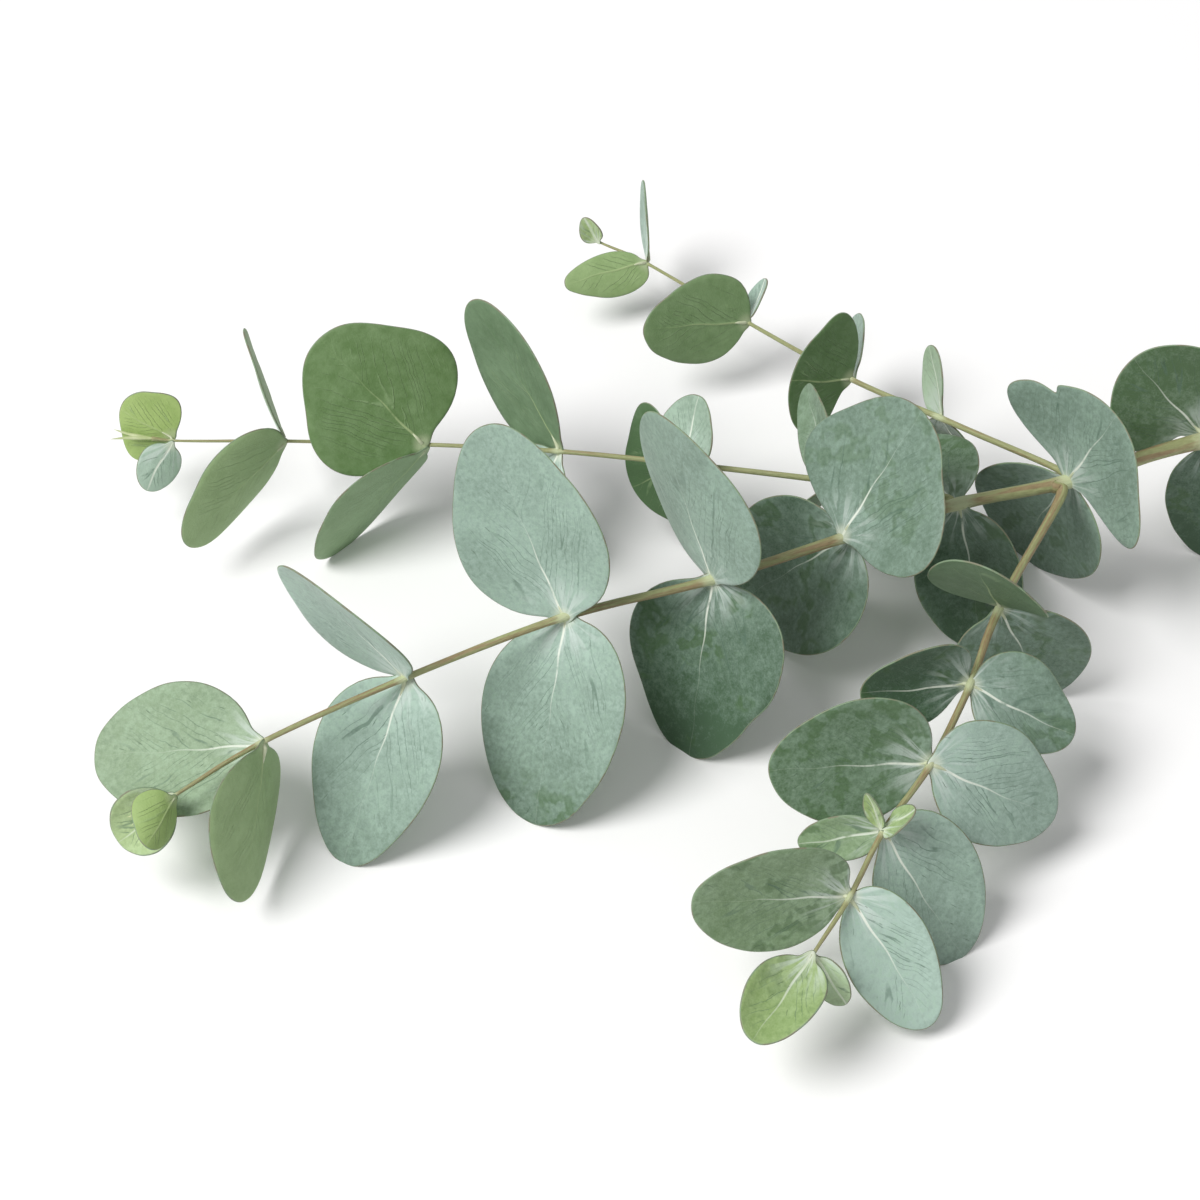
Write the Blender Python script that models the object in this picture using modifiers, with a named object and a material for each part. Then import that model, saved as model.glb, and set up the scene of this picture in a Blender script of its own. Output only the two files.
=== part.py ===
"""A cut branch of silver-dollar eucalyptus, lying on its lower leaves and its cut end.

Metres, +Z up, +X towards the cut end. The branch has a main stem and three side shoots. Leaves sit on
them in opposite pairs, each leaf a thin, slightly cupped plate of its own.
"""

from math import cos, radians, sin

import bmesh
import bpy
from mathutils import Matrix, Vector

MM = 0.001

BLADE_THICKNESS = 0.5 * MM
JOINT_GAP = 0.35 * MM
BLADE_CELLS_ALONG = 6
BLADE_CELLS_ACROSS = 4
SMALL_BLADE_CELLS = 4
SMALL_BLADE_LENGTH = 19 * MM
STEM_STEPS_PER_INTERNODE = 3
TIP_BUD_PROFILE = ((0.0, 1.0), (0.35, 2.2), (0.7, 2.4), (1.0, 0.9))

# Each stem as a row of (x, y, height, radius) in millimetres, one per leaf node, from its lower end
# to the tip of its bud. A side shoot's first row is where it leaves the main stem.
STEMS = {
    "main": [
        (218, 50, 2.6, 2.6),
        (182, 36, 21, 2.5),
        (142, 18, 37, 2.3),
        (108, 4, 38, 2.0),
        (82, -3, 38, 1.7),
        (56, -13, 38, 1.5),
        (25, -25, 37, 1.3),
        (-8, -35, 36, 1.1),
        (-43, -50, 33, 0.9),
        (-73, -66, 31, 0.75),
        (-91, -78, 28, 0.5),
        (-100, -83, 26, 0.4),
    ],
    "back": [
        (106.5, 6.7, 38.5, 1.0),
        (81, 31, 31, 0.9),
        (61, 49, 26, 0.8),
        (37, 75, 20, 0.6),
        (12, 102, 15, 0.5),
        (0, 111, 14, 0.4),
        (-4, 115, 15, 0.35),
    ],
    "left": [
        (78.8, -1, 38, 1.0),
        (53, 5, 37, 0.9),
        (20, 14, 33, 0.8),
        (-10, 20, 31, 0.7),
        (-42, 25, 28, 0.6),
        (-76, 28, 26, 0.5),
        (-103, 31, 23, 0.4),
        (-117, 33, 23, 0.35),
    ],
    "front": [
        (105.6, -0.5, 37.5, 1.3),
        (89, -31, 34, 1.15),
        (81, -51, 32, 1.05),
        (71, -71, 30, 0.95),
        (60, -87, 28, 0.8),
        (52, -102, 25, 0.7),
        (44, -114, 22, 0.5),
        (39, -121, 18, 0.4),
    ],
}

# Each leaf as (stem, row of that stem, side, heading, pitch, roll, length, width, fullness, lean, cup,
# bend). Heading and pitch point its midrib, in degrees, and roll turns the blade about it. A pitch of
# None lets the leaf down until it touches the surface. Lengths are in millimetres: lean pulls the base
# to one side, cup lifts the margins towards the upper face, and bend lifts the tip. Fullness is 1 for
# an oval with a narrow base, and less for a rounder leaf with a broad base cut straight across.
LEAVES = [
    ("main", 2, "upper", 172, 48, -68, 23.5, 30, 0.9, 0, 2, -2),
    ("main", 2, "lower", -29, None, 85, 34.5, 19, 0.95, 0.5, 2, 0),
    ("main", 3, "upper", -36, 74, 71, 23, 44.5, 0.45, -0.5, 4, -2),
    ("main", 3, "lower", 121, None, -109, 37, 34, 0.72, 0.5, 4, 0),
    ("main", 4, "upper", 114, -14, -11, 28.5, 24, 1, 0, 2, -1),
    ("main", 4, "lower", -54, None, 44, 38, 24, 0.84, 0.5, 4, 0),
    ("main", 5, "upper", 37, 55, -5, 31.5, 43.5, 0.47, -4.5, 2, -1),
    ("main", 5, "lower", 164, None, -49, 43.5, 36, 0.58, 4.5, 3, 0),
    ("main", 6, "upper", 135, 62, -100, 40, 42.5, 0.87, -2.5, -3, -2),
    ("main", 6, "lower", -102, None, 24, 40.5, 38, 0.46, 3, 2, 0),
    ("main", 7, "upper", 127, 50, -57, 44, 35.5, 0.7, -1.5, 2, -2),
    ("main", 7, "lower", -103, None, 19, 45.5, 35, 0.93, 3, 2, -1),
    ("main", 8, "upper", 154, 40, -108, 35, 32, 0.75, -1, 2, 1),
    ("main", 8, "lower", -118, None, -1, 42, 28.5, 0.71, 0.5, 2, -1),
    ("main", 9, "left", 175, -12, -25, 37, 29.5, 1, 1, 2, -1),
    ("main", 9, "right", -102, -44, 104, 33, 28, 0.8, 0, 3, 0),
    ("main", 10, "outer", -163, -41, -44, 16, 14, 1, -0.5, 3, 1),
    ("main", 10, "inner", -113, -7, 134, 11, 10.5, 0.71, 2, 3, 1),
    ("back", 1, "upper", 99, 37, -79, 15.5, 12, 0.93, 3.5, 1, 1),
    ("back", 1, "lower", 30, -60, 158, 18, 12, 1, 0, 1, 0),
    ("back", 2, "left", -167, 33, 115, 15, 30, 0.56, -2.5, 2, 0),
    ("back", 2, "right", 88, 1, -67, 19, 15, 1, 0, 1, 0),
    ("back", 3, "left", -167, 7, 113, 25.5, 22.5, 0.79, 3.5, 1, 0),
    ("back", 3, "right", 54, 37, -44, 10.5, 8, 1, 0, 1, 1),
    ("back", 4, "left", -160, -2, 140, 21, 11, 0.72, -1.5, 1, 0),
    ("back", 4, "right", 91, 50, -84, 20, 12, 1, 0, 1, 1),
    ("back", 5, "left", 160, 60, -74, 7.5, 5.5, 0.81, 0.5, 1, 0),
    ("left", 1, "upper", 99, 2, -61, 28.5, 11.5, 0.89, 0, 2, 0),
    ("left", 1, "lower", 100, -65, -33, 20, 16, 0.9, 0, 2, 0),
    ("left", 2, "upper", 70, 54, -33, 15, 17, 0.89, -1.5, 2, 0),
    ("left", 2, "lower", 153, -47, 112, 19, 31.5, 0.45, 0.5, 2, 0),
    ("left", 3, "upper", 129, 42, -88, 39, 29.5, 1, 5, 1, 2),
    ("left", 3, "lower", -150, None, 0, 34, 26, 1, 0, 2, 0),
    ("left", 4, "upper", 150, 38, 140, 33, 38, 0.5, 0, 2, 1),
    ("left", 4, "lower", -153, None, 68, 37, 27, 1, 0, 2, 0),
    ("left", 5, "upper", 114, 45, -100, 27, 20, 1, 0, 1, 1),
    ("left", 5, "lower", -137, -23, 91, 32, 22, 0.9, 4.5, 2, 1),
    ("left", 6, "upper", 159, 37, 109, 13, 19.5, 0.45, -4, 1, 0),
    ("left", 6, "lower", -133, -44, 127, 12.5, 10, 1, 0, 1, 0),
    ("front", 1, "upper", -133, 61, -163, 26, 27, 0.91, -1, 2, -1),
    ("front", 1, "lower", 4, None, 90, 34, 31, 0.95, 0, 2, 0),
    ("front", 2, "left", -168, 4, -75, 22, 20, 0.89, -5, 2, -1),
    ("front", 2, "right", -17, -20, 28, 24, 20, 0.69, 2, 2, -1),
    ("front", 3, "left", -176, 0, -54, 32.5, 27, 0.94, -5, 2, -1),
    ("front", 3, "right", -6, -28, 43, 31, 25, 0.75, 3, 2, -2),
    ("front", 4, "left", 171, -28, -59, 18.5, 10, 0.9, 0, 1, 0),
    ("front", 4, "right", -38, None, 27, 34.5, 24.5, 0.98, 4.5, 2, -1),
    ("front", 5, "left", -167, 13, -71, 32.5, 25.5, 0.92, -2.5, 2, -1),
    ("front", 5, "right", -47, -39, 28, 31, 18.5, 0.91, 2.5, 2, 1),
    ("front", 6, "left", -125, -11, -6, 21, 15, 1, 1, 3, 1),
    ("front", 6, "right", -43, -43, 40, 12, 7, 1, 0, 1, 0),
    ("front", 4, "bud_left", 131, 63, -70, 9.5, 4, 0.93, 0, 1, 1),
    ("front", 4, "bud_right", -7, 47, 7, 9, 5.5, 1, -2, 1, 1),
]

EGG = 0.12
BASE_BULGE = 0.25
LOBE_DROP = 0.3
SIDE_SHIFT = 1.4
LEAST_CROSSING = 0.5
FLOOR_PITCH_RANGE = (-88, -5)
FLOOR_SEARCH_STEPS = 24


def clear_scene():
    for old in list(bpy.data.objects):
        bpy.data.objects.remove(old)


def branch_collection():
    collection = bpy.data.collections.new("eucalyptus_branch")
    bpy.context.scene.collection.children.link(collection)
    return collection


def plain_material(name, colour, roughness):
    material = bpy.data.materials.new(name)
    material.use_nodes = True
    shader = material.node_tree.nodes["Principled BSDF"]
    shader.inputs["Base Color"].default_value = (*colour, 1)
    shader.inputs["Roughness"].default_value = roughness
    shader.inputs["Metallic"].default_value = 0
    return material


def catmull_rom(before, start, end, after, t):
    """A point between start and end, on the smooth curve through all four."""
    linear = (end - before) * t
    square = (2 * before - 5 * start + 4 * end - after) * t**2
    cube = (3 * start - before - 3 * end + after) * t**3
    return (2 * start + linear + square + cube) / 2


def smooth_route(rows):
    """The stem's centre line as 4-D vectors of x, y, z and radius, several to an internode."""
    knots = [Vector(row) * MM for row in rows]
    padded = [2 * knots[0] - knots[1], *knots, 2 * knots[-1] - knots[-2]]
    route = []
    for i in range(len(knots) - 1):
        for step in range(STEM_STEPS_PER_INTERNODE):
            route.append(catmull_rom(*padded[i : i + 4], step / STEM_STEPS_PER_INTERNODE))
    return route + [knots[-1]]


def with_tip_bud(route):
    """Swells the last internode into the folded bud that ends a shoot."""
    body, last = route[:-STEM_STEPS_PER_INTERNODE], route[-1]
    start = route[-STEM_STEPS_PER_INTERNODE - 1]
    for share, swelling in TIP_BUD_PROFILE[1:]:
        point = start.lerp(last, share)
        point[3] = last[3] * swelling
        body.append(point)
    return body


def make_stem(name, rows, collection):
    curve = bpy.data.curves.new(f"stem_{name}", "CURVE")
    curve.dimensions = "3D"
    curve.bevel_depth = 1
    curve.bevel_resolution = 2
    curve.use_fill_caps = True
    route = with_tip_bud(smooth_route(rows))
    spline = curve.splines.new("POLY")
    spline.points.add(len(route) - 1)
    for point, place in zip(spline.points, route):
        point.co = (*place[:3], 1)
        point.radius = place[3]
    stem = bpy.data.objects.new(f"stem_{name}", curve)
    stem.data.materials.append(plain_material(f"bark_{name}", (0.36, 0.36, 0.13), 0.6))
    collection.objects.link(stem)
    return stem


def blade_point(x, y, length, width, fullness, lean, cup, bend):
    """The blade's surface over the square -1 to 1, base at x = -1, in the leaf's own frame."""
    round_x = x * (1 - y * y / 2) ** 0.5
    round_y = y * (1 - x * x / 2) ** 0.5
    base = fullness + (1 - fullness) * BASE_BULGE
    if round_x < -fullness:
        round_x = -fullness + (round_x + fullness) * BASE_BULGE
    along = (base + round_x) / (base + 1)
    across = round_y * (1 - EGG * round_x)
    lobe = (1 - along) ** 2
    lift = cup * across**2 + bend * along**2
    return Vector(
        (
            length * along - LOBE_DROP * abs(lean) * lobe,
            width / 2 * across + lean * lobe,
            lift,
        )
    )


def stem_direction(rows, row):
    before = Vector(rows[row - 1][:3])
    after = Vector(rows[row + 1][:3])
    return (after - before).normalized()


def leaf_frame(stem, row, heading, pitch, roll):
    """The leaf's world matrix: X along its midrib, Z out of its upper face, origin beside the stem.

    A leaf that lies along its stem also moves off the stem's axis, to the face away from the stem.
    """
    turn = Matrix.Rotation(radians(heading), 4, "Z")
    turn @= Matrix.Rotation(radians(-pitch), 4, "Y")
    turn @= Matrix.Rotation(radians(roll), 4, "X")
    midrib = turn.col[0].to_3d()
    upper_face = turn.col[2].to_3d()
    direction = stem_direction(STEMS[stem], row)
    *centre, radius = STEMS[stem][row]
    reach = radius * MM + JOINT_GAP + BLADE_THICKNESS / 2
    standoff = reach / max(midrib.cross(direction).length, LEAST_CROSSING)
    shift = SIDE_SHIFT * reach * midrib.dot(direction)
    if upper_face.dot(direction) < 0:
        shift = -shift
    origin = Vector(centre) * MM + midrib * standoff - upper_face * shift
    return Matrix.Translation(origin) @ turn


def lowest_point(frame, points):
    return min((frame @ point).z for point in points) - BLADE_THICKNESS / 2


def pitch_to_floor(stem, row, heading, roll, points):
    """The pitch that lets the leaf's lowest point down to the surface, found by halving."""
    low, high = FLOOR_PITCH_RANGE
    for _ in range(FLOOR_SEARCH_STEPS):
        middle = (low + high) / 2
        if lowest_point(leaf_frame(stem, row, heading, middle, roll), points) < 0:
            low = middle
        else:
            high = middle
    return high


def make_leaf(
    stem, row, side, heading, pitch, roll, length, width, fullness, lean, cup, bend, collection
):
    small = length * MM < SMALL_BLADE_LENGTH
    along = SMALL_BLADE_CELLS if small else BLADE_CELLS_ALONG
    across = SMALL_BLADE_CELLS if small else BLADE_CELLS_ACROSS
    name = f"leaf_{stem}_{row}_{side}"
    mesh = bpy.data.meshes.new(name)
    grid = bmesh.new()
    bmesh.ops.create_grid(grid, x_segments=along, y_segments=across, size=1)
    for vertex in grid.verts:
        x, y = vertex.co.x, vertex.co.y
        vertex.co = blade_point(x, y, length * MM, width * MM, fullness, lean * MM, cup * MM, bend * MM)
    points = [vertex.co.copy() for vertex in grid.verts]
    grid.to_mesh(mesh)
    grid.free()
    if pitch is None:
        pitch = pitch_to_floor(stem, row, heading, roll, points)
    leaf = bpy.data.objects.new(name, mesh)
    leaf.matrix_world = leaf_frame(stem, row, heading, pitch, roll)
    leaf.data.materials.append(plain_material(name, (0.30, 0.44, 0.36), 0.55))
    solidify = leaf.modifiers.new("blade", "SOLIDIFY")
    solidify.thickness = BLADE_THICKNESS
    solidify.offset = 0
    collection.objects.link(leaf)
    return leaf


def centre_on_origin(objects):
    """Moves the whole branch so that the origin is under its middle, on the surface it lies on."""
    bpy.context.view_layer.update()
    graph = bpy.context.evaluated_depsgraph_get()
    corners = []
    for obj in objects:
        evaluated = obj.evaluated_get(graph)
        mesh = evaluated.to_mesh()
        corners += [evaluated.matrix_world @ vertex.co for vertex in mesh.vertices]
        evaluated.to_mesh_clear()
    low = Vector(map(min, zip(*corners)))
    high = Vector(map(max, zip(*corners)))
    shift = Vector(((low.x + high.x) / 2, (low.y + high.y) / 2, low.z))
    for obj in objects:
        obj.location -= shift


def main():
    clear_scene()
    collection = branch_collection()
    pieces = [make_stem(name, rows, collection) for name, rows in STEMS.items()]
    pieces += [make_leaf(*leaf, collection) for leaf in LEAVES]
    centre_on_origin(pieces)


main()
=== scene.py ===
"""Looks of the eucalyptus branch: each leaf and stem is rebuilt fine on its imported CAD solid."""

import bpy
import numpy as np
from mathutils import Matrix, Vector

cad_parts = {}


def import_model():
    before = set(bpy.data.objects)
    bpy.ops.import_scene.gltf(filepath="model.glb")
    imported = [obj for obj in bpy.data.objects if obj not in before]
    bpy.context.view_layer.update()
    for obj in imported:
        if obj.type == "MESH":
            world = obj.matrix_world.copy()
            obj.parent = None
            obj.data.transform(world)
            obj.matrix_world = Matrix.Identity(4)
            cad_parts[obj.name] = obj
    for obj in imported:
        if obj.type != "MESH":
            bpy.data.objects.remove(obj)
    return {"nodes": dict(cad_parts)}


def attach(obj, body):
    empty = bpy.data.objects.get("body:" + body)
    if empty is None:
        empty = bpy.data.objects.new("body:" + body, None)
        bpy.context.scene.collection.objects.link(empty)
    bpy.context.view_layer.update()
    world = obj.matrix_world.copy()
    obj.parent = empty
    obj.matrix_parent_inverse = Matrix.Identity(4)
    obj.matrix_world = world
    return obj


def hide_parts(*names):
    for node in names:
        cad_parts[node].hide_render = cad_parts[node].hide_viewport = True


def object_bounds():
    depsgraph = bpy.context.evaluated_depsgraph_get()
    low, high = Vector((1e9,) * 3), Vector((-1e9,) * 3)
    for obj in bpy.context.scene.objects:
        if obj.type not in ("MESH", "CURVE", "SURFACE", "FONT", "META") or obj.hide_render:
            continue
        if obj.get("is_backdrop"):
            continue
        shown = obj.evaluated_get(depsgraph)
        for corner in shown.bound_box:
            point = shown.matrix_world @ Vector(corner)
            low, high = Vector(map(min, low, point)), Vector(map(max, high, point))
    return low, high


MM = 0.001

# The CAD solids. The first leaf node is at a stem's ring FIRST_NODE_RING, and the next ones follow
# RINGS_PER_INTERNODE apart. A blade's rim is where its faces turn away from its normal.
SHOOTS = ("main", "back", "left", "front")
FIRST_NODE_RING = 2
RINGS_PER_INTERNODE = 3
POINT_DECIMALS = 7
RING_REACHES = np.arange(0.2, 4, 0.05) * MM
LEAST_RING_POINTS = 6
RIM_FACING = 0.6

# Blades. Ripples and midribs are at full size on leaves as long as FULL_LEAF, and stalks on leaves as
# long as FULL_STALK_LEAF. Outline waves and tucks are shares of the blade's and the stem's radius.
BLADE_CELLS = (46, 34)
RIM_CROWDING = 0.6
BLADE_THICKNESS = 0.42 * MM
FULL_LEAF = 30 * MM
OUTLINE_HARMONICS = 3
OUTLINE_UNEVENNESS = 0.0014
UNEVEN_WAVES = range(4, 12)
BASE_TUCK = 0.1
BASE_WEDGE = 0.42
WEDGE_BLEND = 10
MIDRIB_HALF_WIDTH = 0.42 * MM
MIDRIB_GROOVE = 0.09 * MM
MIDRIB_RIDGE = 0.26 * MM
MIDRIB_NARROWING = 0.7
MIDRIB_FADING = 0.85
MIDRIB_BOW = 0.7 * MM
MIDRIB_WAVE = 0.16 * MM
MIDRIB_WAVELENGTH = 11 * MM
RIPPLE_HEIGHT = 0.3 * MM
RIPPLE_WAVES = (2, 3, 4)
QUILT_HEIGHT = 0.05 * MM
QUILT_ALONG = 1.3 * MM
QUILT_ACROSS = 1.1 * MM
QUILT_SLANT = 0.4
STALK_SIDES = 12
STALK_CLEARANCE = 0.3 * MM
STALK_REACH = 3.2 * MM
STALK_SHARE = 0.25
STALK_RADII = (0.55, 0.55, 0.5, 0.36, 0.1)
FULL_STALK_LEAF = 25 * MM

# Stems. Swellings spread over a number of stem radii, and the cut's rings are shares of its radius.
STEM_SIDES = 24
STEM_STEPS = 10
STEM_SLIMNESS = 0.8
STEM_UNEVENNESS = 0.02
STEM_UNEVEN_PLACES = 40
NODE_SWELLING = 0.14
NODE_SPREAD = 2.2
FORK_SWELLING = 0.3
FORK_SPREAD = 4
CUT_RINGS = (0.9, 0.82, 0.25)
BUD_RINGS = 12
BUD_SIDES = 12
BUD_SPREAD = 0.16
BUD_WIDTH = 0.75
BUD_REACH = 1.15
BUD_SQUASH = 0.6
BUD_POINT = 0.02 * MM

# Patterns, in millimetres from the leaf's node and across from its midrib
PATTERN_SEEDS = 97
SIDE_VEIN_SLOPE = 1.6
SIDE_VEIN_CURVE = 0.015
SIDE_VEIN_CONTOURS = 6
BUMP_DEPTH = 0.22 * MM
RUDDINESS = {"main": 0.6, "front": 0.65, "left": 0.2, "back": 0.25}

CAMERA_AZIMUTH = -90
CAMERA_ELEVATION = 50
CAMERA_FIELD = 25
CAMERA_DISTANCE = 0.6495
CAMERA_AIM = (0.348, 0.535)
KEY_AZIMUTH = 200
KEY_ELEVATION = 55
KEY_DISTANCE = 4
KEY_SIZE = 2.2
KEY_POWER = 150
SKY_STRENGTH = 0.45
FLOOR_SIZE = 12

# A notch in a leaf's outline as (angle from the tip, width, depth), in radians and a share of its size.
NOTCHES = {"main_3_upper": (1.15, 0.14, 0.16)}
# Leaves whose lower face is on the inside of their curve.
CUPPED_DOWN = ("main_6_upper", "front_1_upper", "left_3_upper", "left_6_lower")
# Each leaf's looks as (bloom, age, tip_shade): how waxy it is, how young its colour is from 0, grown, to 1,
# and how much painted shade darkens it towards its tip, by lowering its bloom there. A leaf that isn't
# listed is GROWN.
GROWN = (0.8, 0.0, 0.0)
LEAF_LOOKS = {
    "main_2_upper": (0.18, 0.15, 0.0),
    "main_2_lower": (0.2, 0.0, 0.1),
    "main_3_upper": (0.58, 0.0, 0.0),
    "main_3_lower": (0.5, 0.0, 0.1),
    "main_4_upper": (0.25, 0.1, 0.0),
    "main_4_lower": (0.25, 0.0, 0.1),
    "main_5_upper": (0.48, 0.0, 0.0),
    "main_5_lower": (0.36, 0.0, 0.1),
    "main_6_upper": (0.72, 0.0, 0.05),
    "main_6_lower": (0.34, 0.0, 0.3),
    "main_7_upper": (0.86, 0.0, 0.1),
    "main_7_lower": (0.82, 0.0, 0.5),
    "main_8_upper": (0.92, 0.0, 0.0),
    "main_8_lower": (0.88, 0.0, 0.35),
    "main_9_left": (0.65, 0.3, 0.0),
    "main_9_right": (0.8, 0.3, 0.0),
    "main_10_outer": (0.9, 0.7, 0.0),
    "main_10_inner": (0.6, 0.65, 0.0),
    "back_1_upper": (0.9, 0.3, 0.0),
    "back_1_lower": (0.2, 0.1, 0.0),
    "back_2_left": (0.07, 0.1, 0.0),
    "back_3_left": (0.42, 0.2, 0.0),
    "back_4_left": (0.68, 0.4, 0.0),
    "back_5_left": (0.7, 0.8, 0.0),
    "left_1_upper": (0.5, 0.15, 0.0),
    "left_2_upper": (0.9, 0.1, 0.0),
    "left_2_lower": (0.0, 0.0, 0.0),
    "left_3_upper": (0.3, 0.0, 0.0),
    "left_4_upper": (0.12, 0.2, 0.0),
    "left_4_lower": (0.9, 0.1, 0.0),
    "left_5_upper": (0.9, 0.2, 0.0),
    "left_5_lower": (0.9, 0.3, 0.0),
    "left_6_upper": (0.65, 0.8, 0.0),
    "left_6_lower": (1.3, 0.1, 0.0),
    "front_1_upper": (0.1, 0.0, 0.0),
    "front_1_lower": (0.35, 0.0, 0.0),
    "front_2_left": (0.1, 0.0, 0.0),
    "front_2_right": (0.52, 0.0, 0.1),
    "front_3_left": (0.3, 0.1, 0.0),
    "front_3_right": (0.9, 0.0, 0.15),
    "front_4_left": (0.42, 0.35, 0.0),
    "front_4_right": (0.8, 0.0, 0.1),
    "front_5_left": (0.45, 0.3, 0.0),
    "front_5_right": (1.1, 0.0, 0.0),
    "front_6_left": (0.5, 0.75, 0.0),
    "front_6_right": (0.9, 0.5, 0.0),
    "front_4_bud_left": (0.5, 0.85, 0.0),
    "front_4_bud_right": (0.5, 0.7, 0.0),
}


def linear(red, green, blue):
    """An 8-bit sRGB colour as the linear RGBA that shaders take."""
    shares = [value / 255 for value in (red, green, blue)]
    return (*[c / 12.92 if c <= 0.04045 else ((c + 0.055) / 1.055) ** 2.4 for c in shares], 1)


def unit(vector):
    return vector / np.linalg.norm(vector)


def seed_of(name):
    return sum((i + 1) * ord(letter) for i, letter in enumerate(name))


# Measuring the CAD solids


def solid_points(node):
    coordinates = np.array([vertex.co for vertex in node.data.vertices])
    return np.unique(np.round(coordinates, POINT_DECIMALS), axis=0)


def linked_groups(points, reach):
    """The points in groups, where each is within reach of another of its group."""
    near = np.linalg.norm(points[:, None] - points[None], axis=2) < reach
    left = np.ones(len(points), bool)
    groups = []
    while left.any():
        group = np.zeros(len(points), bool)
        group[np.flatnonzero(left)[0]] = True
        while True:
            wider = near[group].any(axis=0)
            if (wider == group).all():
                break
            group = wider
        groups.append(np.flatnonzero(group))
        left &= ~group
    return groups


def stem_rings(node):
    """The rings of a CAD stem as rows of x, y, z and radius, from its thick end to its tip."""
    points = solid_points(node)
    for reach in RING_REACHES:
        groups = linked_groups(points, reach)
        sizes = {len(group) for group in groups}
        if len(sizes) == 1 and min(sizes) >= LEAST_RING_POINTS:
            break
    rings = []
    for group in groups:
        centre = points[group].mean(axis=0)
        radius = np.linalg.norm(points[group] - centre, axis=1).mean()
        rings.append((*centre, radius))
    rings = np.array(rings)
    order = [int(rings[:, 3].argmax())]
    while len(order) < len(rings):
        gaps = np.linalg.norm(rings[:, :3] - rings[order[-1], :3], axis=1)
        gaps[order] = np.inf
        order.append(int(gaps.argmin()))
    return rings[order]


class Blade:
    """A CAD leaf measured: its axes, the height of its surface and its outline round a centre."""

    def __init__(self, node, name, node_centre, stem_radius):
        points = solid_points(node)
        middle = points.mean(axis=0)
        self.normal = np.linalg.svd(points - middle)[2][2]
        rim = self.rim_points(node)
        self.node_centre = node_centre
        self.start = node_centre + self.normal * np.dot(middle - node_centre, self.normal)
        tip = rim[(rim @ unit(middle - self.start)).argmax()]
        along = tip - self.start
        self.along = unit(along - self.normal * np.dot(along, self.normal))
        self.across = np.cross(self.normal, self.along)
        self.fit_surface(points, name in CUPPED_DOWN)
        self.rng = np.random.default_rng(seed_of(name))
        self.measure_rim(rim)
        self.tuck = BASE_TUCK * stem_radius
        self.notch = NOTCHES.get(name)

    def rim_points(self, node):
        mesh = node.data
        mesh.calc_loop_triangles()
        on_rim = [
            mesh.vertices[i].co[:]
            for triangle in mesh.loop_triangles
            if abs(np.dot(triangle.normal, self.normal)) < RIM_FACING
            for i in triangle.vertices
        ]
        return np.unique(np.round(np.array(on_rim), POINT_DECIMALS), axis=0)

    def flat(self, points):
        """Points as distances along the midrib, across it, and out of the blade's plane."""
        offset = points - self.start
        return offset @ self.along, offset @ self.across, offset @ self.normal

    def fit_surface(self, points, cupped_down):
        """Fits the blade's height as a quadratic, and turns the normal out of the upper face."""
        u, v, w = self.flat(points)
        terms = np.column_stack([np.ones_like(u), u, v, u * u, u * v, v * v])
        self.surface = np.linalg.lstsq(terms, w, rcond=None)[0]
        if (self.surface[5] < 0) != cupped_down:
            self.normal = -self.normal
            self.across = -self.across
            self.surface = self.surface * np.array([-1, -1, 1, -1, 1, -1])

    def measure_rim(self, rim):
        """Sets the blade's sizes and its midrib's bow, and fits the rim as waves round a circle.

        The circle is the blade stretched to equal half-axes.
        """
        u, v, _ = self.flat(rim)
        self.base, self.tip = u.min(), u.max()
        self.centre = (self.base + self.tip) / 2
        self.size = min(1, (self.tip - self.base) / FULL_LEAF)
        self.bow = self.rng.uniform(-1, 1) * MIDRIB_BOW * min(1, self.tip / FULL_LEAF)
        self.breadth = (v.max() - v.min()) / (self.tip - self.base)
        angle = np.arctan2(v / self.breadth, u - self.centre)
        radius = np.hypot(v / self.breadth, u - self.centre)
        self.waves = np.linalg.lstsq(self.harmonics(angle), radius, rcond=None)[0]
        self.unevenness = self.rng.normal(0, OUTLINE_UNEVENNESS, len(UNEVEN_WAVES))

    @staticmethod
    def harmonics(angle):
        terms = [np.ones_like(angle)]
        for k in range(1, OUTLINE_HARMONICS + 1):
            terms += [np.cos(k * angle), np.sin(k * angle)]
        return np.stack(terms, axis=-1)

    def outline(self, angle):
        """The distance from the centre to the rim, which at the base reaches in to the node."""
        radius = self.harmonics(angle) @ self.waves
        for i, (wave, size) in enumerate(zip(UNEVEN_WAVES, self.unevenness)):
            radius = radius * (1 + size * np.sin(wave * angle + 2 * i))
        if self.notch:
            place, width, depth = self.notch
            radius = radius * (1 - depth * np.exp(-(((angle - place) / width) ** 2)))
        from_base = np.pi - np.abs(angle)
        wedge = (self.centre - self.tuck) * np.exp(-((from_base / BASE_WEDGE) ** 2))
        return (radius**WEDGE_BLEND + wedge**WEDGE_BLEND) ** (1 / WEDGE_BLEND)

    def midrib(self, u):
        """How far the midrib strays sideways on its way from the node to the tip."""
        wave = np.sin(2 * np.pi * u / MIDRIB_WAVELENGTH)
        return self.bow * np.sin(np.pi * u / self.tip) + MIDRIB_WAVE * wave

    def run(self, u):
        """The share of the way from the node to the tip."""
        return np.clip(u / self.tip, 0, 1)

    def place(self, u, v, w):
        u, v, w = (value[..., None] for value in (u, v, w))
        return self.start + u * self.along + v * self.across + w * self.normal

    def height(self, u, v):
        c = self.surface
        return c[0] + c[1] * u + c[2] * v + c[3] * u * u + c[4] * u * v + c[5] * v * v

    def normals(self, u, v):
        c = self.surface
        slope_u = c[1] + 2 * c[3] * u + c[4] * v
        slope_v = c[2] + c[4] * u + 2 * c[5] * v
        normals = self.normal - slope_u[..., None] * self.along - slope_v[..., None] * self.across
        return normals / np.linalg.norm(normals, axis=-1, keepdims=True)


# Meshes


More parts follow.
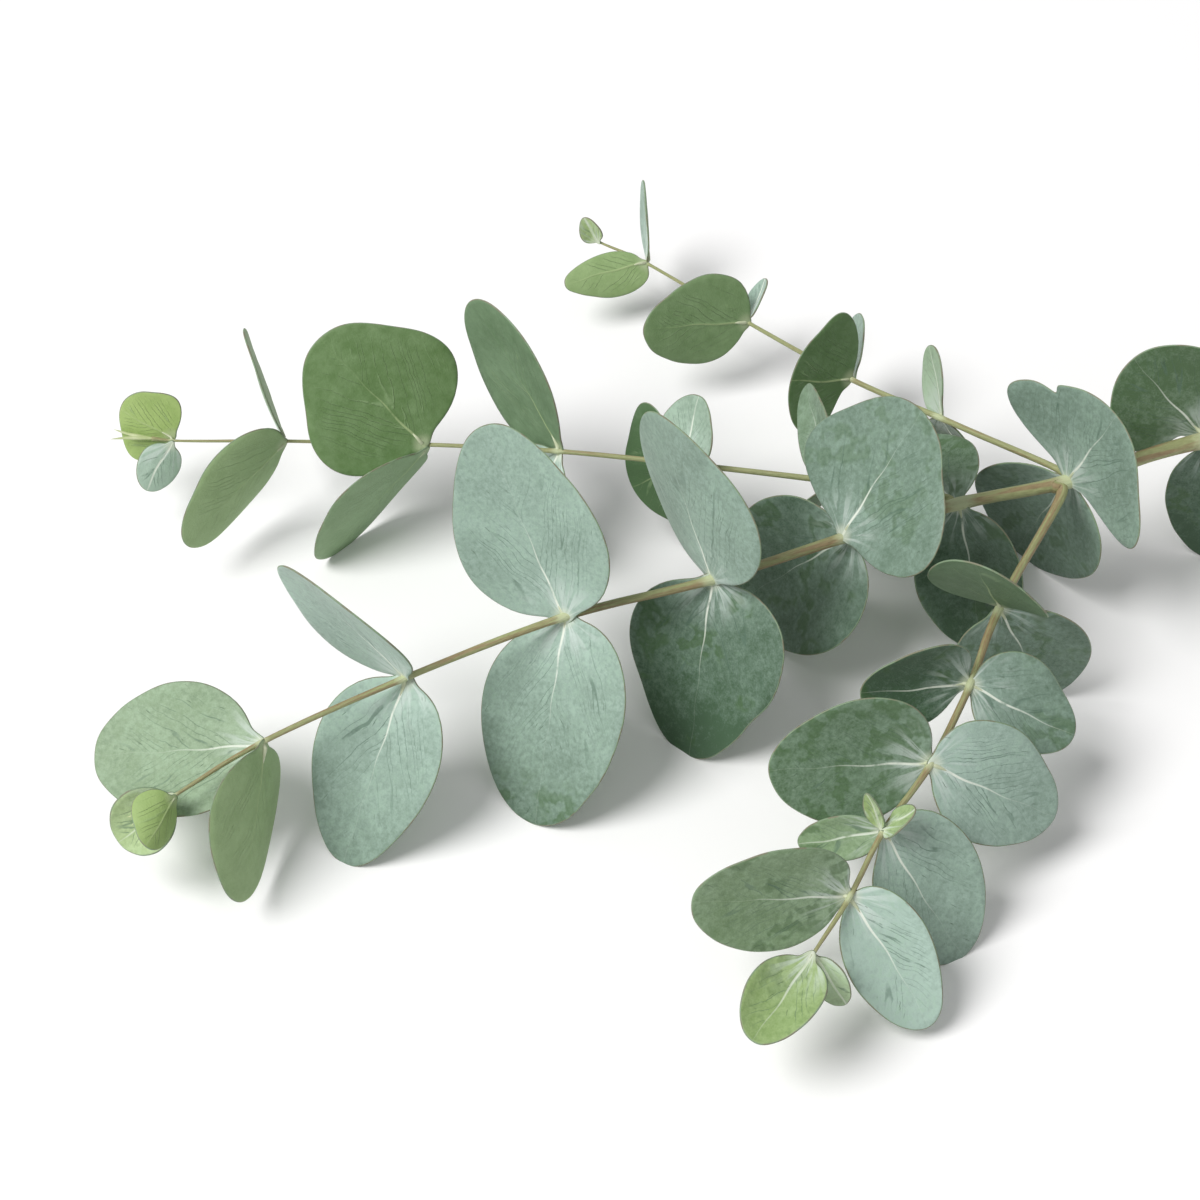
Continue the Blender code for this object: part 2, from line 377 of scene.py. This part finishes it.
def mesh_object(name, points, slots, attributes):
    """A smooth mesh. slots holds (material, faces) in turn, and attributes holds 3-D vectors."""
    mesh = bpy.data.meshes.new(name)
    mesh.from_pydata([tuple(point) for point in points], [], sum((faces for _, faces in slots), []))
    for key, values in attributes.items():
        attribute = mesh.attributes.new(key, "FLOAT_VECTOR", "POINT")
        attribute.data.foreach_set("vector", np.asarray(values, np.float32).ravel())
    indices = []
    for i, (material, faces) in enumerate(slots):
        mesh.materials.append(material)
        indices += [i] * len(faces)
    mesh.polygons.foreach_set("material_index", indices)
    mesh.shade_smooth()
    mesh.update()
    piece = bpy.data.objects.new(name, mesh)
    bpy.context.scene.collection.objects.link(piece)
    return piece


def band_faces(low, high, sides):
    """The faces between two rings of points, whose first points are low and high."""
    faces = []
    for j in range(sides):
        k = (j + 1) % sides
        faces.append((low + j, low + k, high + k, high + j))
    return faces


def tube_faces(rings, sides, first):
    faces = []
    for low in range(first, first + (rings - 1) * sides, sides):
        faces += band_faces(low, low + sides, sides)
    return faces


def end_faces(sides, start, end):
    """The flat faces that close a tube's first ring and its last one."""
    return [
        tuple(start + j for j in reversed(range(sides))),
        tuple(end + j for j in range(sides)),
    ]


def closed_tube_faces(rings, sides, first):
    last = first + (rings - 1) * sides
    return tube_faces(rings, sides, first) + end_faces(sides, first, last)


def tube_points(route, radii, sides, squash=1.0):
    """Rings of points about a route, turned as little as possible from one to the next."""
    tangents = np.gradient(route, axis=0)
    side = np.cross(tangents[0], (0, 0, 1))
    angles = np.linspace(0, 2 * np.pi, sides, endpoint=False)
    rings = []
    for place, tangent, radius in zip(route, tangents, radii):
        tangent = unit(tangent)
        side = unit(side - tangent * np.dot(side, tangent))
        other = np.cross(tangent, side)
        ring = np.outer(np.cos(angles), side) + np.outer(np.sin(angles), other * squash)
        rings.append(place + radius * ring)
    return np.concatenate(rings)


def blade_grid(blade):
    """The blade's grid: places along and across, and each one's share of the way out and angle."""
    x = np.linspace(-1, 1, BLADE_CELLS[0] + 1)
    spread = np.linspace(-1, 1, BLADE_CELLS[1] + 1)
    y = spread * (1 - RIM_CROWDING + RIM_CROWDING * spread**2)
    x, y = np.meshgrid(x, y, indexing="ij")
    disc_x = x * np.sqrt(1 - y * y / 2)
    disc_y = y * np.sqrt(1 - x * x / 2)
    share = np.minimum(np.hypot(disc_x, disc_y), 1)
    angle = np.arctan2(disc_y, disc_x)
    reach = share * blade.outline(angle)
    u, v = blade.centre + reach * np.cos(angle), reach * np.sin(angle) * blade.breadth
    return u, v + blade.midrib(u) * (1 - share**2), share, angle


def grid_border(rows, columns):
    """The grid's border as vertex numbers, once round."""
    top = [(0, j) for j in range(columns)]
    right = [(i, columns - 1) for i in range(1, rows)]
    bottom = [(rows - 1, j) for j in range(columns - 2, -1, -1)]
    left = [(i, 0) for i in range(rows - 2, 0, -1)]
    return [i * columns + j for i, j in top + right + bottom + left]


def blade_lift(blade, u, v, share, angle):
    """The ripples towards the rim and the fine quilting between the veins, as heights."""
    phase = blade.rng.uniform(0, 2 * np.pi, len(RIPPLE_WAVES) + 2)
    ripples = sum(np.sin(wave * angle + phase[i]) / (i + 1) for i, wave in enumerate(RIPPLE_WAVES))
    along = np.sin(u / QUILT_ALONG + phase[-2])
    across = np.sin((v + QUILT_SLANT * u) / QUILT_ACROSS + phase[-1])
    ripple_height = RIPPLE_HEIGHT * blade.size * share**3
    quilt_height = QUILT_HEIGHT * blade.size * (1 - share**4)
    return ripple_height * ripples + quilt_height * along * across


def blade_mesh(blade):
    """The two faces of the blade and its rounded rim: points, faces by side, and leaf places."""
    u, v, share, angle = blade_grid(blade)
    middle = blade.place(u, v, blade.height(u, v) + blade_lift(blade, u, v, share, angle))
    normals = blade.normals(u, v)
    aside = v - blade.midrib(u)
    run = blade.run(u)
    width = MIDRIB_HALF_WIDTH * (1 - MIDRIB_NARROWING * run) * blade.size
    rib = np.exp(-((aside / width) ** 2)) * (1 - MIDRIB_FADING * run) * (1 - share**6)
    half = BLADE_THICKNESS / 2
    upper = (middle + normals * (half - MIDRIB_GROOVE * rib)[..., None]).reshape(-1, 3)
    lower = (middle - normals * (half + MIDRIB_RIDGE * rib)[..., None]).reshape(-1, 3)
    border = grid_border(*u.shape)
    middle = middle.reshape(-1, 3)
    outward = middle[border] - middle.mean(axis=0)
    outward /= np.linalg.norm(outward, axis=1, keepdims=True)
    rim = middle[border] + outward * half
    places = np.stack([u / MM, aside / MM, share], axis=-1).reshape(-1, 3)
    places = np.concatenate([places, places, places[border]])
    return np.concatenate([upper, lower, rim]), blade_faces(*u.shape, border), places


def blade_faces(rows, columns, border):
    """The faces of the upper side, the lower side and the rim, whose points come in that order."""
    total = rows * columns
    upper, lower, rim = [], [], []
    for i in range(rows - 1):
        for j in range(columns - 1):
            a, b = i * columns + j, (i + 1) * columns + j
            upper.append((a, b, b + 1, a + 1))
            lower.append((total + a, total + a + 1, total + b + 1, total + b))
    for k, here in enumerate(border):
        after = border[(k + 1) % len(border)]
        edge, next_edge = 2 * total + k, 2 * total + (k + 1) % len(border)
        rim.append((here, after, next_edge, edge))
        rim.append((edge, next_edge, total + after, total + here))
    return upper, lower, rim


def stalk_points(blade, stem_radius):
    """The short stalk that runs from inside the stem on to the blade's lower side."""
    foot = stem_radius + STALK_CLEARANCE
    end = foot + min(STALK_REACH, STALK_SHARE * blade.tip)
    u = np.array([0.2 * foot, 0.6 * foot, foot, (foot + end) / 2, end])
    lift = blade.height(u, 0 * u) - BLADE_THICKNESS / 2
    on_blade = blade.place(u, blade.midrib(u), lift)
    share = np.clip(u / foot, 0, 1)[:, None] ** 2
    route = blade.node_centre * (1 - share) + on_blade * share
    size = min(1, blade.tip / FULL_STALK_LEAF)
    return tube_points(route, np.array(STALK_RADII) * MM * size, STALK_SIDES)


def make_leaf(name, blade, stem_radius, materials):
    points, sides, places = blade_mesh(blade)
    stalk = stalk_points(blade, stem_radius)
    first = len(points)
    stalk_faces = closed_tube_faces(len(STALK_RADII), STALK_SIDES, first)
    bloom, age, tip_shade = LEAF_LOOKS.get(name, GROWN)
    looks = np.tile((bloom, age, seed_of(name) % PATTERN_SEEDS), (first + len(stalk), 1))
    # Painted shade: the bloom is lowered towards the tip, so the tip comes out darker green.
    looks[:first, 0] -= tip_shade * blade.run(places[:, 0] * MM) ** 2
    places = np.concatenate([places, np.zeros((len(stalk), 3))])
    return mesh_object(
        f"blade_{name}",
        np.concatenate([points, stalk]),
        list(zip(materials, (*sides, stalk_faces))),
        {"leaf_place": places, "leaf_look": looks},
    )


def smooth_route(rings, steps):
    """The rings joined by a smooth curve, with steps points to each gap."""
    padded = np.concatenate([[2 * rings[0] - rings[1]], rings, [2 * rings[-1] - rings[-2]]])
    route = []
    for a, b, c, d in zip(padded, padded[1:], padded[2:], padded[3:]):
        for t in np.arange(steps) / steps:
            linear_part = (c - a) * t
            square = (2 * a - 5 * b + 4 * c - d) * t**2
            cube = (3 * b - a - 3 * c + d) * t**3
            route.append((2 * b + linear_part + square + cube) / 2)
    return np.array(route + [rings[-1]])


def stem_route(rings, fork):
    """The stem's smooth centre line as rows of x, y, z and radius, from the fork up to the tip bud."""
    body = rings[:-2]
    if fork is not None:
        root = np.append(fork, rings[0, 3] * (1 + FORK_SWELLING))
        body = np.concatenate([[root], body])
    return smooth_route(body, STEM_STEPS)


def stem_radii(shoot, route, arc, nearness, is_forked):
    """The stem's radii: slim, a little uneven, and swollen at its leaf nodes and its fork."""
    swelling = 1 + NODE_SWELLING * nearness
    if is_forked:
        swelling += FORK_SWELLING * np.exp(-((arc / (FORK_SPREAD * route[0, 3])) ** 2))
    rng = np.random.default_rng(seed_of(shoot))
    places = np.linspace(0, arc[-1], STEM_UNEVEN_PLACES)
    uneven = 1 + STEM_UNEVENNESS * np.interp(arc, places, rng.normal(0, 1, STEM_UNEVEN_PLACES))
    return route[:, 3] * swelling * uneven * STEM_SLIMNESS


def cut_faces(first, tip_ring):
    """The cut end's rings of faces, inwards from the bark's first ring, and the flat tip's face."""
    starts = [0] + [first + i * STEM_SIDES for i in range(len(CUT_RINGS))]
    faces = []
    for outer, inner in zip(starts, starts[1:]):
        faces += band_faces(outer, inner, STEM_SIDES)
    return faces + end_faces(STEM_SIDES, starts[-1], tip_ring)


def bud_points(start, direction, side, length, width):
    """One pointed scale leaf of a tip bud, a squashed spindle that leans outwards."""
    share = np.linspace(0, 1, BUD_RINGS)
    lean = BUD_SPREAD * length * share**2
    route = start + np.outer(share * length, direction) + np.outer(lean, side)
    fullness = np.sqrt(np.clip(share * 2.4 + 0.15, 0, 1)) * (1 - share**2.5)
    return tube_points(route, width * fullness + BUD_POINT, BUD_SIDES, BUD_SQUASH)


def tip_buds(rings, stem_end):
    """The points of the tip bud's two scale leaves, one to each side."""
    direction = unit(rings[-1, :3] - rings[-3, :3])
    side = unit(np.cross(direction, (0, 0, 1)))
    length = np.linalg.norm(rings[-1, :3] - stem_end) * BUD_REACH
    width = rings[-2, 3] * BUD_WIDTH
    start = stem_end - direction * width
    return [bud_points(start, direction, side * turn, length, width) for turn in (-1, 1)]


def make_stem(shoot, rings, fork, materials):
    """A stem with swollen leaf nodes, its tip bud, and a cut end on the main stem."""
    route = stem_route(rings, fork)
    line = route[:, :3]
    arc = np.concatenate([[0], np.cumsum(np.linalg.norm(np.diff(line, axis=0), axis=1))])
    node_places = rings[FIRST_NODE_RING::RINGS_PER_INTERNODE, :3]
    gaps = np.linalg.norm(line[:, None] - node_places[None], axis=2).min(axis=1)
    nearness = np.exp(-((gaps / (NODE_SPREAD * route[:, 3])) ** 2))
    radii = stem_radii(shoot, route, arc, nearness, fork is not None)
    bark = tube_points(line, radii, STEM_SIDES)
    cut = [line[0] + (bark[:STEM_SIDES] - line[0]) * share for share in CUT_RINGS]
    buds = tip_buds(rings, line[-1])
    bud_start = len(bark) + len(cut) * STEM_SIDES
    faces = (
        tube_faces(len(route), STEM_SIDES, 0),
        cut_faces(len(bark), len(bark) - STEM_SIDES),
        closed_tube_faces(BUD_RINGS, BUD_SIDES, bud_start)
        + closed_tube_faces(BUD_RINGS, BUD_SIDES, bud_start + len(buds[0])),
    )
    angles = np.linspace(0, 2 * np.pi, STEM_SIDES, endpoint=False)
    bark_places = [(at / MM, angle, near) for at, near in zip(arc, nearness) for angle in angles]
    cut_places = [(0, angle, share) for share in CUT_RINGS for angle in angles]
    bud_places = [(0, 0, 0)] * (2 * len(buds[0]))
    places = bark_places + cut_places + bud_places
    look = (RUDDINESS[shoot], seed_of(shoot) % PATTERN_SEEDS, 0)
    return mesh_object(
        f"twig_{shoot}",
        np.concatenate([bark, *cut, *buds]),
        list(zip(materials, faces)),
        {"stem_place": places, "stem_look": [look] * len(places)},
    )


# Materials


class Graph:
    """A material's node tree with one Principled shader, and short calls that add nodes to it."""

    def __init__(self, name):
        self.material = bpy.data.materials.new(name)
        self.material.use_nodes = True
        self.tree = self.material.node_tree
        self.shader = self.tree.nodes["Principled BSDF"]

    def put(self, value, socket):
        if isinstance(value, bpy.types.NodeSocket):
            self.tree.links.new(value, socket)
        else:
            socket.default_value = value

    def node(self, kind, inputs=(), **settings):
        node = self.tree.nodes.new(kind)
        for key, value in settings.items():
            setattr(node, key, value)
        for key, value in dict(inputs).items():
            self.put(value, node.inputs[key])
        return node

    def math(self, operation, *values):
        node = self.node("ShaderNodeMath", operation=operation)
        for value, socket in zip(values, node.inputs):
            self.put(value, socket)
        return node.outputs[0]

    def add(self, *values):
        total = values[0]
        for value in values[1:]:
            total = self.math("ADD", total, value)
        return total

    def times(self, *values):
        total = values[0]
        for value in values[1:]:
            total = self.math("MULTIPLY", total, value)
        return total

    def swing(self, value, amount):
        """A pattern of 0 to 1 as a change of amount times as much, about none."""
        return self.times(self.add(value, -0.5), amount)

    def step(self, value, low, high):
        """0 below low, 1 above high, and smooth between. low may be the greater."""
        node = self.node("ShaderNodeMapRange", interpolation_type="SMOOTHSTEP")
        for socket, part in zip(node.inputs, (value, low, high, 0, 1)):
            self.put(part, socket)
        return node.outputs[0]

    def mix(self, share, first, second):
        node = self.node("ShaderNodeMix", data_type="RGBA", clamp_factor=True)
        sockets = [s for s in node.inputs if s.enabled]
        for socket, value in zip(sockets, (share, first, second)):
            self.put(value, socket)
        return [s for s in node.outputs if s.enabled][0]

    def noise(self, vector, scale, detail):
        inputs = {"Vector": vector, "Scale": scale, "Detail": detail}
        return self.node("ShaderNodeTexNoise", inputs).outputs[0]

    def cells(self, vector, scale):
        """The distance to the nearest of scattered points."""
        inputs = {"Vector": vector, "Scale": scale}
        return self.node("ShaderNodeTexVoronoi", inputs).outputs["Distance"]

    def vector(self, *values):
        node = self.node("ShaderNodeCombineXYZ")
        for value, socket in zip(values, node.inputs):
            self.put(value, socket)
        return node.outputs[0]

    def attribute(self, name):
        """The three numbers of a vector attribute."""
        node = self.node("ShaderNodeAttribute", attribute_name=name)
        split = self.node("ShaderNodeSeparateXYZ", {"Vector": node.outputs["Vector"]})
        return split.outputs[:]

    def finish(self, colour, roughness, height, depth):
        """The material with its colour, its roughness and a bump whose full height is depth."""
        bump = self.node("ShaderNodeBump", {"Height": height, "Distance": depth})
        self.put(bump.outputs[0], self.shader.inputs["Normal"])
        self.put(colour, self.shader.inputs["Base Color"])
        self.put(roughness, self.shader.inputs["Roughness"])
        return self.material


def leaf_noises(graph, u, v, seed):
    """Noises over a blade from broad to fine, and the place that they read, which differs by leaf."""
    shifted = graph.vector(graph.add(u, graph.times(seed, 7.3)), graph.add(v, graph.times(seed, 3.1)), seed)
    return {
        "shifted": shifted,
        "patches": graph.noise(shifted, 0.085, 2),
        "clouds": graph.noise(shifted, 0.3, 4),
        "mottle": graph.noise(shifted, 0.9, 4),
        "grain": graph.noise(shifted, 2.4, 3),
    }


def side_vein_patterns(graph, u, aside, lane, share, noises):
    """Fine lines and dashes that leave the midrib and slant towards the rim, each side its own."""
    shifted, clouds = noises["shifted"], noises["clouds"]
    broad_warp = graph.times(graph.noise(shifted, 0.16, 1), 4)
    warp = graph.add(broad_warp, graph.times(graph.noise(shifted, 0.9, 3), 0.9))
    spread = graph.add(graph.times(aside, SIDE_VEIN_SLOPE), graph.times(aside, aside, SIDE_VEIN_CURVE))
    climb = graph.add(u, graph.times(spread, -1), warp)
    line_space = graph.vector(graph.times(climb, 0.17), graph.times(aside, 0.02), lane)
    contours = graph.noise(line_space, 1.0, 0)
    turns = graph.math("FRACT", graph.times(contours, SIDE_VEIN_CONTOURS))
    from_line = graph.math("ABSOLUTE", graph.add(turns, -0.5))
    present = graph.times(graph.step(clouds, 0.3, 0.5), graph.step(u, 46, 12), graph.step(share, 0.96, 0.6))
    lines = graph.times(graph.step(from_line, 0.07, 0.01), present, graph.step(aside, 0.1, 0.6))
    dash_space = graph.vector(graph.times(climb, 0.95), graph.times(aside, 0.26), lane)
    dashes = graph.times(graph.step(graph.cells(dash_space, 1.0), 0.15, 0.07), graph.step(clouds, 0.5, 0.58))
    return lines, dashes


def midrib_pattern(graph, u, aside, age, clouds):
    """The midrib's pale line, which narrows and fades towards the tip, and is weaker on young leaves."""
    width = graph.add(graph.times(graph.step(u, 28, -2), 0.27), 0.06)
    line = graph.step(graph.math("DIVIDE", aside, width), 1.3, 0.5)
    along = graph.times(graph.step(u, 27, 3), graph.step(clouds, 0.25, 0.5))
    return graph.times(line, graph.add(graph.times(along, 0.85), 0.1), graph.add(1, graph.times(age, -0.5)))


def leaf_patterns(graph):
    """What both faces of a blade share: its looks, its noises, its veins and its marks at the node."""
    u, v, share = graph.attribute("leaf_place")
    # On some leaves bloom is lowered towards the tip, as painted shade.
    bloom, age, seed = graph.attribute("leaf_look")
    aside = graph.math("ABSOLUTE", v)
    lane = graph.add(graph.times(seed, 7.3), graph.times(graph.step(v, -0.02, 0.02), 41))
    noises = leaf_noises(graph, u, v, seed)
    side_vein, dashes = side_vein_patterns(graph, u, aside, lane, share, noises)
    angle = graph.math("ARCTAN2", v, graph.add(u, 0.4))
    reach = graph.math("SQRT", graph.add(graph.times(u, u), graph.times(v, v)))
    rays = graph.noise(graph.vector(graph.times(angle, 5.5), graph.times(reach, 0.09), seed), 1.0, 2)
    return {
        **noises,
        "bloom": bloom,
        "age": age,
        "side_vein": side_vein,
        "dashes": dashes,
        "midrib": midrib_pattern(graph, u, aside, age, noises["clouds"]),
        "burst": graph.times(graph.step(rays, 0.44, 0.62), graph.step(reach, 13, 1.5)),
        "base": graph.step(reach, 18, 1),
        "collar": graph.step(reach, 3.4, 0.8),
    }


def upper_material():
    """The upper face: grey-green wax, rubbed dark patches, pale midrib, dark vein lines and dashes."""
    graph = Graph("leaf_upper")
    p = leaf_patterns(graph)
    wax = graph.add(
        p["bloom"],
        graph.swing(p["patches"], 0.45),
        graph.swing(p["clouds"], 0.4),
        graph.swing(p["mottle"], 0.35),
        graph.swing(p["grain"], 0.3),
        graph.times(p["base"], 0.24),
        -0.1,
    )
    grown = graph.mix(wax, linear(64, 90, 66), linear(165, 188, 176))
    young = graph.mix(wax, linear(116, 148, 66), linear(184, 204, 138))
    colour = graph.mix(p["age"], grown, young)
    # Greener and darker clouds in the wax.
    greener = graph.times(graph.step(p["mottle"], 0.4, 0.65), graph.step(p["patches"], 0.4, 0.6), 0.24)
    colour = graph.mix(graph.times(greener, p["bloom"]), colour, linear(136, 170, 138))
    shade = graph.times(graph.step(p["mottle"], 0.6, 0.3), graph.step(p["clouds"], 0.3, 0.6), 0.2)
    colour = graph.mix(shade, colour, linear(72, 98, 74))
    # Patches rubbed bare, on leaves with little bloom only.
    bare = graph.step(p["bloom"], 0.6, 0.4)
    rubbed = graph.times(graph.step(p["patches"], 0.5, 0.57), graph.step(p["clouds"], 0.44, 0.54), bare)
    colour = graph.mix(graph.times(rubbed, 0.6), colour, linear(58, 90, 42))
    # Pale rays from the node, under the veins, the midrib and the collar.
    colour = graph.mix(graph.times(p["burst"], 0.62), colour, linear(206, 217, 212))
    colour = graph.mix(graph.times(p["side_vein"], 0.6), colour, linear(78, 104, 88))
    colour = graph.mix(graph.times(p["dashes"], 0.7), colour, linear(62, 90, 64))
    colour = graph.mix(p["midrib"], colour, linear(226, 232, 220))
    colour = graph.mix(graph.times(p["collar"], 0.6), colour, linear(216, 222, 202))
    height = graph.add(
        graph.times(p["side_vein"], -0.2),
        graph.times(p["grain"], 0.3),
        graph.times(p["mottle"], 0.35),
        graph.times(p["dashes"], -0.3),
    )
    roughness = graph.add(0.48, graph.times(wax, 0.14))
    graph.shader.inputs["Specular IOR Level"].default_value = 0.3
    graph.shader.inputs["Sheen Weight"].default_value = 0.1
    graph.shader.inputs["Sheen Roughness"].default_value = 0.5
    return graph.finish(colour, roughness, height, BUMP_DEPTH)


def lower_material():
    """The lower face: plainer green, with a raised pale midrib and raised side veins."""
    graph = Graph("leaf_lower")
    p = leaf_patterns(graph)
    tone = graph.add(
        p["bloom"],
        graph.swing(p["patches"], 0.4),
        graph.swing(p["clouds"], 0.5),
        graph.swing(p["mottle"], 0.3),
    )
    grown = graph.mix(tone, linear(78, 106, 70), linear(140, 167, 134))
    young = graph.mix(tone, linear(128, 160, 72), linear(180, 202, 122))
    colour = graph.mix(p["age"], grown, young)
    colour = graph.mix(graph.times(p["side_vein"], 0.4), colour, linear(140, 164, 120))
    specks = graph.times(graph.step(graph.cells(p["shifted"], 1.3), 0.14, 0.06), 0.25)
    colour = graph.mix(specks, colour, linear(70, 96, 60))
    colour = graph.mix(graph.times(p["midrib"], 0.75), colour, linear(172, 188, 138))
    colour = graph.mix(graph.times(p["collar"], 0.5), colour, linear(190, 198, 166))
    height = graph.add(
        graph.times(p["side_vein"], 0.6),
        graph.times(p["mottle"], 0.35),
        graph.times(p["grain"], 0.3),
    )
    graph.shader.inputs["Specular IOR Level"].default_value = 0.32
    return graph.finish(colour, graph.add(0.5, graph.times(p["clouds"], 0.12)), height, BUMP_DEPTH)


def rim_material():
    """The blade's edge: grey-green with a pinkish-brown hairline that comes and goes."""
    graph = Graph("leaf_rim")
    u, v, _ = graph.attribute("leaf_place")
    _, _, seed = graph.attribute("leaf_look")
    noises = leaf_noises(graph, u, v, seed)
    brown = graph.times(graph.step(noises["clouds"], 0.42, 0.6), 0.6)
    colour = graph.mix(brown, linear(124, 146, 116), linear(122, 104, 88))
    return graph.finish(colour, 0.55, noises["grain"], 0.1 * MM)


def stalk_material():
    """The leaf stalk: cream with a touch of green."""
    graph = Graph("leaf_stalk")
    place = graph.node("ShaderNodeTexCoord").outputs["Object"]
    cloud = graph.noise(place, 900, 2)
    colour = graph.mix(cloud, linear(178, 186, 148), linear(206, 212, 186))
    return graph.finish(colour, 0.55, cloud, 0.08 * MM)


def bark_material():
    """Thin green bark: olive, reddish-brown stretches, fine grooves, pale wax at the nodes."""
    graph = Graph("bark")
    along, angle, nearness = graph.attribute("stem_place")
    ruddiness, seed, _ = graph.attribute("stem_look")
    across, up = graph.math("COSINE", angle), graph.math("SINE", angle)
    stretches = graph.noise(graph.vector(graph.add(graph.times(along, 0.05), seed), across, up), 1.3, 3)
    thread_space = graph.vector(graph.times(along, 0.6), graph.times(across, 3), graph.times(up, 3))
    threads = graph.noise(thread_space, 1.0, 4)
    olive = graph.mix(threads, linear(126, 132, 84), linear(174, 178, 130))
    red = graph.mix(threads, linear(118, 92, 66), linear(168, 144, 110))
    redness = graph.step(graph.add(stretches, graph.times(ruddiness, 0.3)), 0.6, 0.78)
    colour = graph.mix(graph.times(redness, 0.8), olive, red)
    wax = graph.step(graph.add(nearness, graph.swing(threads, 0.5)), 0.1, 1.0)
    colour = graph.mix(graph.times(wax, 0.85), colour, linear(190, 200, 160))
    speck_space = graph.vector(graph.times(along, 0.5), graph.times(angle, 1.5), seed)
    lenticels = graph.step(graph.cells(speck_space, 1.4), 0.14, 0.07)
    colour = graph.mix(graph.times(lenticels, 0.35), colour, linear(100, 78, 52))
    height = graph.add(threads, graph.times(lenticels, 0.4))
    return graph.finish(colour, graph.add(0.5, graph.times(wax, 0.12)), height, BUMP_DEPTH)


def cut_material():
    """The cut end: pale wood with fine rays, a soft pith and a dark green line under the bark."""
    graph = Graph("cut_wood")
    _, angle, radius = graph.attribute("stem_place")
    rays = graph.noise(graph.vector(graph.times(angle, 6), radius, 0), 1.5, 2)
    colour = graph.mix(rays, linear(186, 178, 132), linear(214, 206, 164))
    colour = graph.mix(graph.step(radius, 0.4, 0.25), colour, linear(150, 132, 92))
    colour = graph.mix(graph.step(radius, 0.84, 0.9), colour, linear(112, 120, 66))
    return graph.finish(colour, 0.75, rays, 0.15 * MM)


def young_material():
    """The tip buds: cream to yellow-green under white wax."""
    graph = Graph("young_bud")
    place = graph.node("ShaderNodeTexCoord").outputs["Object"]
    cloud = graph.noise(place, 420, 3)
    colour = graph.mix(cloud, linear(146, 164, 92), linear(206, 210, 178))
    return graph.finish(colour, 0.55, cloud, 0.1 * MM)


def paper_material():
    material = bpy.data.materials.new("paper_white")
    material.use_nodes = True
    shader = material.node_tree.nodes["Principled BSDF"]
    shader.inputs["Base Color"].default_value = (0.92, 0.92, 0.92, 1)
    shader.inputs["Roughness"].default_value = 0.8
    shader.inputs["Specular IOR Level"].default_value = 0.1
    return material


# The branch


def node_of(stems, leaf):
    """The centre and radius of the stem where this leaf grows, from a name such as main_4_upper."""
    shoot, row = leaf.split("_")[:2]
    return stems[shoot][FIRST_NODE_RING + (int(row) - 1) * RINGS_PER_INTERNODE]


def fork_of(stems, shoot):
    """The point of the main stem's centre line that a side shoot grows from."""
    if shoot == "main":
        return None
    line = smooth_route(stems["main"][:, :3], STEM_STEPS)
    return line[np.linalg.norm(line - stems[shoot][0, :3], axis=1).argmin()]


def build_branch(nodes):
    """One piece for each CAD node: the stems first, then the leaves by name."""
    stems = {shoot: stem_rings(nodes[f"stem_{shoot}"]) for shoot in SHOOTS}
    stem_materials = (bark_material(), cut_material(), young_material())
    for shoot, rings in stems.items():
        piece = make_stem(shoot, rings, fork_of(stems, shoot), stem_materials)
        settle(piece, f"stem_{shoot}")
    leaf_materials = (upper_material(), lower_material(), rim_material(), stalk_material())
    for node_name in sorted(nodes):
        if not node_name.startswith("leaf_"):
            continue
        name = node_name.removeprefix("leaf_")
        *centre, radius = node_of(stems, name)
        blade = Blade(nodes[node_name], name, np.array(centre), radius)
        settle(make_leaf(name, blade, radius, leaf_materials), node_name)


def settle(piece, node_name):
    """Puts the piece on the branch's one body, in place of its CAD node."""
    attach(piece, "root")
    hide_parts(node_name)


# The stage


def make_floor():
    bpy.ops.mesh.primitive_plane_add(size=FLOOR_SIZE)
    floor = bpy.context.object
    floor.name = "floor"
    floor.data.materials.append(paper_material())
    floor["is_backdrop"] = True


def direction_to(azimuth, elevation):
    """The unit vector at these angles in degrees, from +X towards +Y and from the floor up."""
    azimuth, elevation = np.radians((azimuth, elevation))
    flat = np.cos(elevation)
    return Vector((np.cos(azimuth) * flat, np.sin(azimuth) * flat, np.sin(elevation)))


def aim_point(low, high):
    """The point on the floor that the camera and the key light face, at these shares of the box."""
    share_x, share_y = CAMERA_AIM
    return Vector((low.x + share_x * (high.x - low.x), low.y + share_y * (high.y - low.y), low.z))


def look_at(thing, target):
    thing.rotation_euler = (target - thing.location).to_track_quat("-Z", "Y").to_euler()


def make_key_light(target):
    lamp = bpy.data.lights.new("key", "AREA")
    lamp.shape = "DISK"
    lamp.size = KEY_SIZE
    lamp.energy = KEY_POWER
    lamp.color = (1, 0.99, 0.98)
    light = bpy.data.objects.new("key", lamp)
    light.location = target + direction_to(KEY_AZIMUTH, KEY_ELEVATION) * KEY_DISTANCE
    look_at(light, target)
    bpy.context.scene.collection.objects.link(light)


def make_sky():
    world = bpy.data.worlds.new("sky")
    world.use_nodes = True
    background = world.node_tree.nodes["Background"]
    background.inputs["Color"].default_value = (0.99, 0.985, 1, 1)
    background.inputs["Strength"].default_value = SKY_STRENGTH
    bpy.context.scene.world = world


def make_camera(target):
    data = bpy.data.cameras.new("camera")
    data.angle = np.radians(CAMERA_FIELD)
    data.clip_start = 0.01
    camera = bpy.data.objects.new("camera", data)
    camera.location = target + direction_to(CAMERA_AZIMUTH, CAMERA_ELEVATION) * CAMERA_DISTANCE
    look_at(camera, target)
    bpy.context.scene.collection.objects.link(camera)
    bpy.context.scene.camera = camera


def main():
    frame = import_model()
    cad_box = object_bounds()
    target = aim_point(*cad_box)
    make_camera(target)
    make_key_light(target)
    make_sky()
    make_floor()
    bpy.context.scene.view_settings.view_transform = "Standard"
    build_branch(frame["nodes"])


main()
